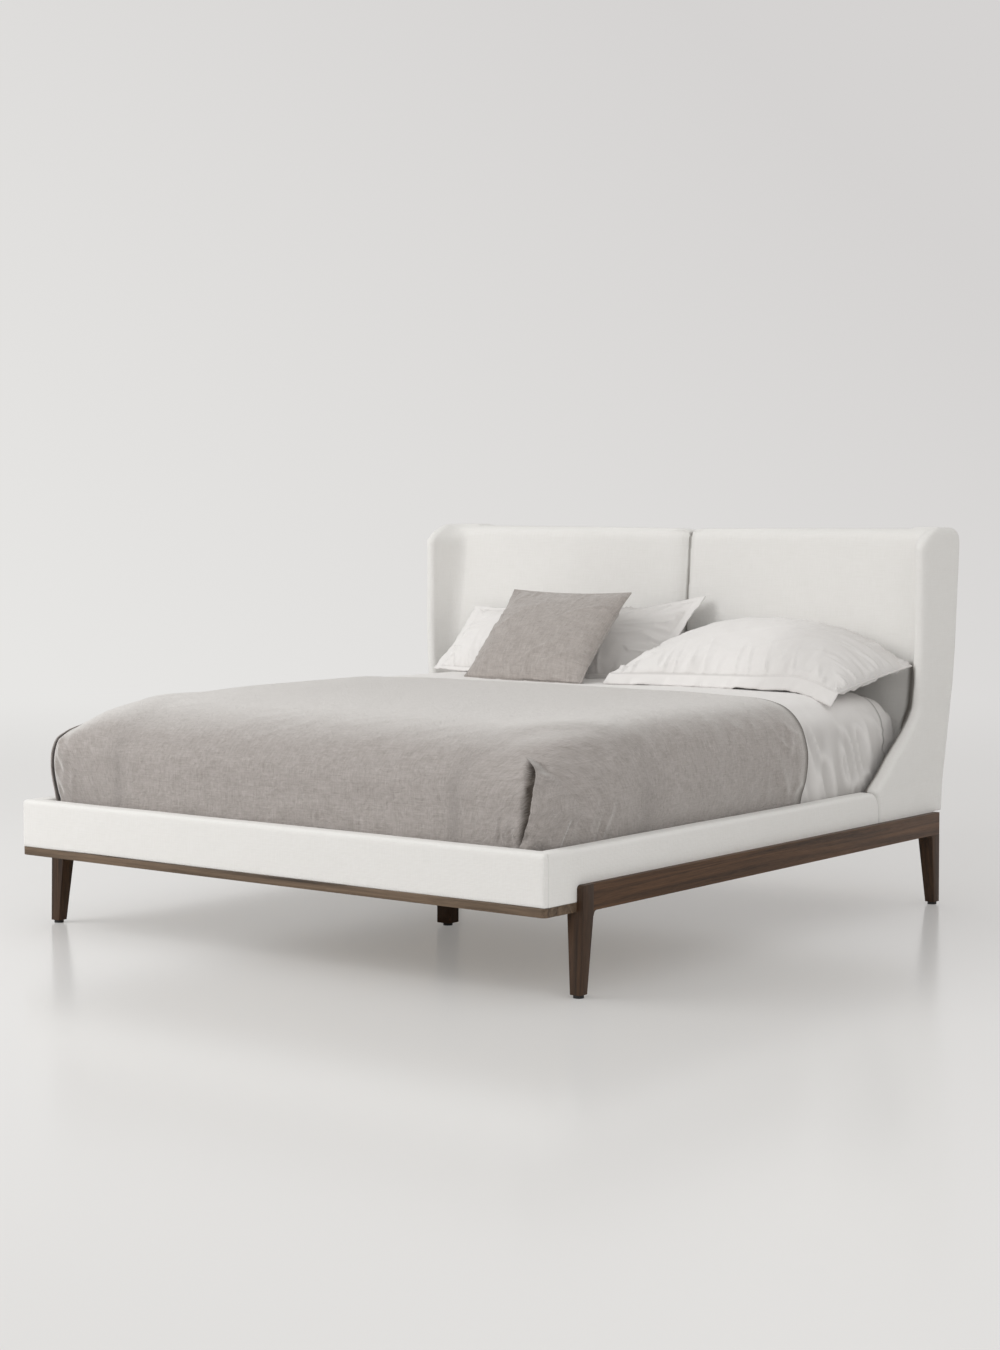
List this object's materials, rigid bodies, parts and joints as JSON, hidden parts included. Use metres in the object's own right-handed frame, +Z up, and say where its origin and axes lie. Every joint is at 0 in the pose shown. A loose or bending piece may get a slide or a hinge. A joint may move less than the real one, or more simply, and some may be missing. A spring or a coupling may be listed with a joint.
{
  "type": "bed",
  "caption": "Upholstered platform bed with a two-panel wing headboard, oak side rails and tapered legs, made up with a tucked coverlet, shams and a throw pillow",
  "frame": {"origin": "middle of the bounding box in plan, on the floor", "axes": "+X to the right as seen from the foot, +Y from the foot to the headboard, +Z up"},
  "size_m": [2.12, 2.3469, 1.27],
  "materials": {
    "oak": "satin",
    "pine": "matte",
    "upholstery": "matte",
    "webbing": "matte",
    "bracket_steel": "satin",
    "bolt_steel": "satin",
    "sleeve_brass": "satin",
    "glide_plastic": "matte",
    "mattress_ticking": "matte",
    "sheet_cotton": "matte",
    "coverlet_cotton": "matte",
    "sham_cotton": "matte",
    "throw_cotton": "matte"
  },
  "bodies": {
    "frame": {"front_leg_left": "oak", "front_leg_right": "oak", "rear_leg_left": "oak", "rear_leg_right": "oak", "side_rail_left": "oak", "side_rail_right": "oak", "foot_trim_board": "oak", "corner_trim_left": "oak", "corner_trim_right": "oak", "head_cross_rail": "pine", "side_core_left": "pine", "side_core_right": "pine", "foot_core": "pine", "side_cover_left": "upholstery", "side_cover_right": "upholstery", "foot_cover": "upholstery", "headboard_core": "pine", "headboard_back_cover": "upholstery", "headboard_pad_left": "upholstery", "headboard_pad_right": "upholstery", "wing_left": "upholstery", "wing_right": "upholstery", "slat_ledge_left": "pine", "slat_ledge_right": "pine", "centre_beam": "pine", "beam_brackets": "bracket_steel", "centre_leg_front": "oak", "centre_leg_rear": "oak", "slats": "pine", "slat_strap_left": "webbing", "slat_strap_right": "webbing", "corner_brackets": "bracket_steel", "corner_bolts": "bolt_steel", "leg_bolts": "bolt_steel", "ledge_screws": "bolt_steel", "headboard_bolts": "bolt_steel", "glide_inserts": "sleeve_brass"},
    "glide_front_left": {"glide_front_left": "glide_plastic"},
    "glide_front_right": {"glide_front_right": "glide_plastic"},
    "glide_rear_left": {"glide_rear_left": "glide_plastic"},
    "glide_rear_right": {"glide_rear_right": "glide_plastic"},
    "glide_centre_front": {"glide_centre_front": "glide_plastic"},
    "glide_centre_rear": {"glide_centre_rear": "glide_plastic"},
    "mattress": {"mattress": "mattress_ticking", "fitted_sheet": "sheet_cotton", "flat_sheet": "sheet_cotton", "coverlet": "coverlet_cotton"},
    "left_sham": {"left_sham": "sham_cotton"},
    "right_sham": {"right_sham": "sham_cotton"},
    "throw_pillow": {"throw_pillow": "throw_cotton"}
  },
  "joints": [
    {"name": "mattress_lift", "type": "slide", "parent": "frame", "child": "mattress", "axis": [0, 0, 1], "range_m": [0, 0.5]},
    {"name": "left_sham_lift", "type": "slide", "parent": "mattress", "child": "left_sham", "axis": [0, 0, 1], "range_m": [0, 0.6]},
    {"name": "right_sham_lift", "type": "slide", "parent": "mattress", "child": "right_sham", "axis": [0, 0, 1], "range_m": [0, 0.6]},
    {"name": "throw_pillow_lift", "type": "slide", "parent": "left_sham", "child": "throw_pillow", "axis": [0, 0, 1], "range_m": [0, 0.5]},
    {"name": "glide_front_left_screw", "type": "slide", "parent": "frame", "child": "glide_front_left", "axis": [0, 0, -1], "range_m": [0, 0.01]},
    {"name": "glide_front_right_screw", "type": "slide", "parent": "frame", "child": "glide_front_right", "axis": [0, 0, -1], "range_m": [0, 0.01]},
    {"name": "glide_rear_left_screw", "type": "slide", "parent": "frame", "child": "glide_rear_left", "axis": [0, 0, -1], "range_m": [0, 0.01]},
    {"name": "glide_rear_right_screw", "type": "slide", "parent": "frame", "child": "glide_rear_right", "axis": [0, 0, -1], "range_m": [0, 0.01]},
    {"name": "glide_centre_front_screw", "type": "slide", "parent": "frame", "child": "glide_centre_front", "axis": [0, 0, -1], "range_m": [0, 0.01]},
    {"name": "glide_centre_rear_screw", "type": "slide", "parent": "frame", "child": "glide_centre_rear", "axis": [0, 0, -1], "range_m": [0, 0.01]}
  ]
}
